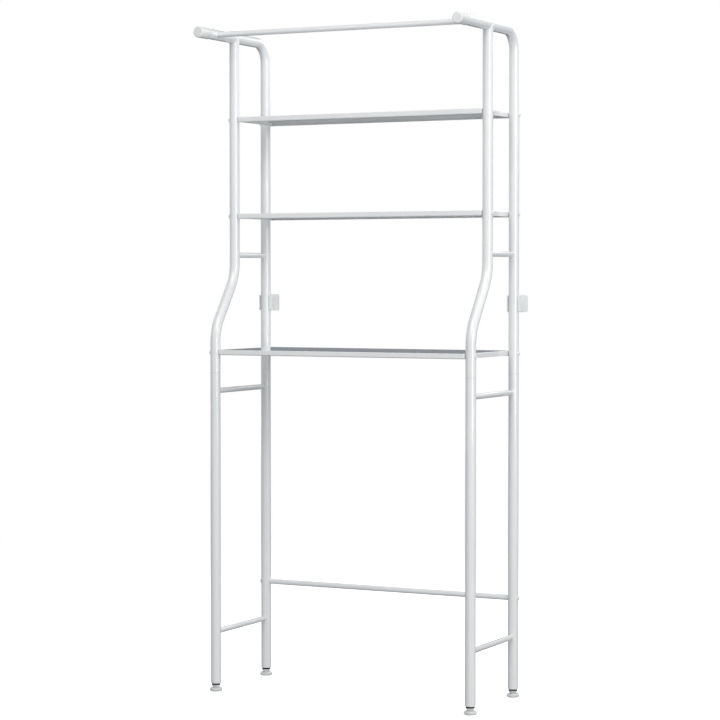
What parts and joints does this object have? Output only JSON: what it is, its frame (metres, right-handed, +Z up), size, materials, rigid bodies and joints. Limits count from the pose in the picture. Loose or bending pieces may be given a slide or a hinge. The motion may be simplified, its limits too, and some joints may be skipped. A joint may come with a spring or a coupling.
{
  "type": "over-toilet storage rack",
  "caption": "Free-standing bent-tube storage rack that spans a toilet, with sheet-metal shelves above, a towel rod, levelling feet and wall clips.",
  "frame": {"origin": "on the floor under the middle of the rack's bounding box, wall clips and arm caps included", "axes": "+Z up, +X along the shelves from left to right as seen from the front, -Y towards the user and +Y towards the wall"},
  "size_m": [0.748, 0.3636, 1.6469],
  "materials": {
    "white_powder_coat": "gloss",
    "painted_screw": "gloss",
    "zinc_steel": "satin",
    "white_plastic": "satin",
    "clip_plastic": "satin",
    "foot_plastic": "satin",
    "plug_nylon": "matte",
    "adhesive_foam": "matte"
  },
  "bodies": {
    "frame": {"arm_cap_left": "white_plastic", "arm_cap_right": "white_plastic", "back_cross_rail": "white_powder_coat", "back_rail_end_nuts": "zinc_steel", "back_rail_screws": "painted_screw", "leg_plugs": "plug_nylon", "leg_sleeves": "zinc_steel", "lower_front_leg_left": "white_powder_coat", "lower_front_leg_right": "white_powder_coat", "lower_rear_leg_left": "white_powder_coat", "lower_rear_leg_right": "white_powder_coat", "lower_shelf": "white_powder_coat", "lower_side_rail_left": "white_powder_coat", "lower_side_rail_right": "white_powder_coat", "middle_shelf": "white_powder_coat", "middle_side_rail_left": "white_powder_coat", "middle_side_rail_right": "white_powder_coat", "shelf_screws": "painted_screw", "shelf_weld_nuts": "white_powder_coat", "top_shelf": "white_powder_coat", "towel_rod": "white_powder_coat", "towel_rod_screws": "painted_screw", "upper_front_tube_left": "white_powder_coat", "upper_front_tube_right": "white_powder_coat", "upper_rear_tube_left": "white_powder_coat", "upper_rear_tube_right": "white_powder_coat", "upper_side_rail_left": "white_powder_coat", "upper_side_rail_right": "white_powder_coat"},
    "pad_front_left": {"foot_pad_front_left": "foot_plastic"},
    "screw_front_left": {"foot_grip_front_left": "foot_plastic", "foot_stud_front_left": "zinc_steel"},
    "pad_front_right": {"foot_pad_front_right": "foot_plastic"},
    "screw_front_right": {"foot_grip_front_right": "foot_plastic", "foot_stud_front_right": "zinc_steel"},
    "pad_rear_left": {"foot_pad_rear_left": "foot_plastic"},
    "screw_rear_left": {"foot_grip_rear_left": "foot_plastic", "foot_stud_rear_left": "zinc_steel"},
    "pad_rear_right": {"foot_pad_rear_right": "foot_plastic"},
    "screw_rear_right": {"foot_grip_rear_right": "foot_plastic", "foot_stud_rear_right": "zinc_steel"},
    "clip_left": {"wall_clip_left": "clip_plastic", "wall_clip_adhesive_left": "adhesive_foam"},
    "clip_right": {"wall_clip_right": "clip_plastic", "wall_clip_adhesive_right": "adhesive_foam"}
  },
  "joints": [
    {"name": "foot_lift_front_left", "type": "slide", "parent": "frame", "child": "pad_front_left", "axis": [0, 0, -1], "range_m": [0, 0.012]},
    {"name": "foot_turn_front_left", "type": "hinge", "parent": "pad_front_left", "child": "screw_front_left", "pos_m": [-0.347, -0.1008, 0.009], "axis": [0, 0, -1], "range_deg": [0, 3456]},
    {"name": "foot_lift_front_right", "type": "slide", "parent": "frame", "child": "pad_front_right", "axis": [0, 0, -1], "range_m": [0, 0.012]},
    {"name": "foot_turn_front_right", "type": "hinge", "parent": "pad_front_right", "child": "screw_front_right", "pos_m": [0.347, -0.1008, 0.009], "axis": [0, 0, -1], "range_deg": [0, 3456]},
    {"name": "foot_lift_rear_left", "type": "slide", "parent": "frame", "child": "pad_rear_left", "axis": [0, 0, -1], "range_m": [0, 0.012]},
    {"name": "foot_turn_rear_left", "type": "hinge", "parent": "pad_rear_left", "child": "screw_rear_left", "pos_m": [-0.347, 0.1562, 0.009], "axis": [0, 0, -1], "range_deg": [0, 3456]},
    {"name": "foot_lift_rear_right", "type": "slide", "parent": "frame", "child": "pad_rear_right", "axis": [0, 0, -1], "range_m": [0, 0.012]},
    {"name": "foot_turn_rear_right", "type": "hinge", "parent": "pad_rear_right", "child": "screw_rear_right", "pos_m": [0.347, 0.1562, 0.009], "axis": [0, 0, -1], "range_deg": [0, 3456]},
    {"name": "clip_slide_left", "type": "slide", "parent": "frame", "child": "clip_left", "axis": [0, 0, 1], "range_m": [-0.09, 0.18]},
    {"name": "clip_slide_right", "type": "slide", "parent": "frame", "child": "clip_right", "axis": [0, 0, 1], "range_m": [-0.09, 0.18]}
  ],
  "couplings": [
    {"joint": "foot_lift_front_left", "follows": "foot_turn_front_left", "m_per_rad": 0.00019894},
    {"joint": "foot_lift_front_right", "follows": "foot_turn_front_right", "m_per_rad": 0.00019894},
    {"joint": "foot_lift_rear_left", "follows": "foot_turn_rear_left", "m_per_rad": 0.00019894},
    {"joint": "foot_lift_rear_right", "follows": "foot_turn_rear_right", "m_per_rad": 0.00019894}
  ]
}
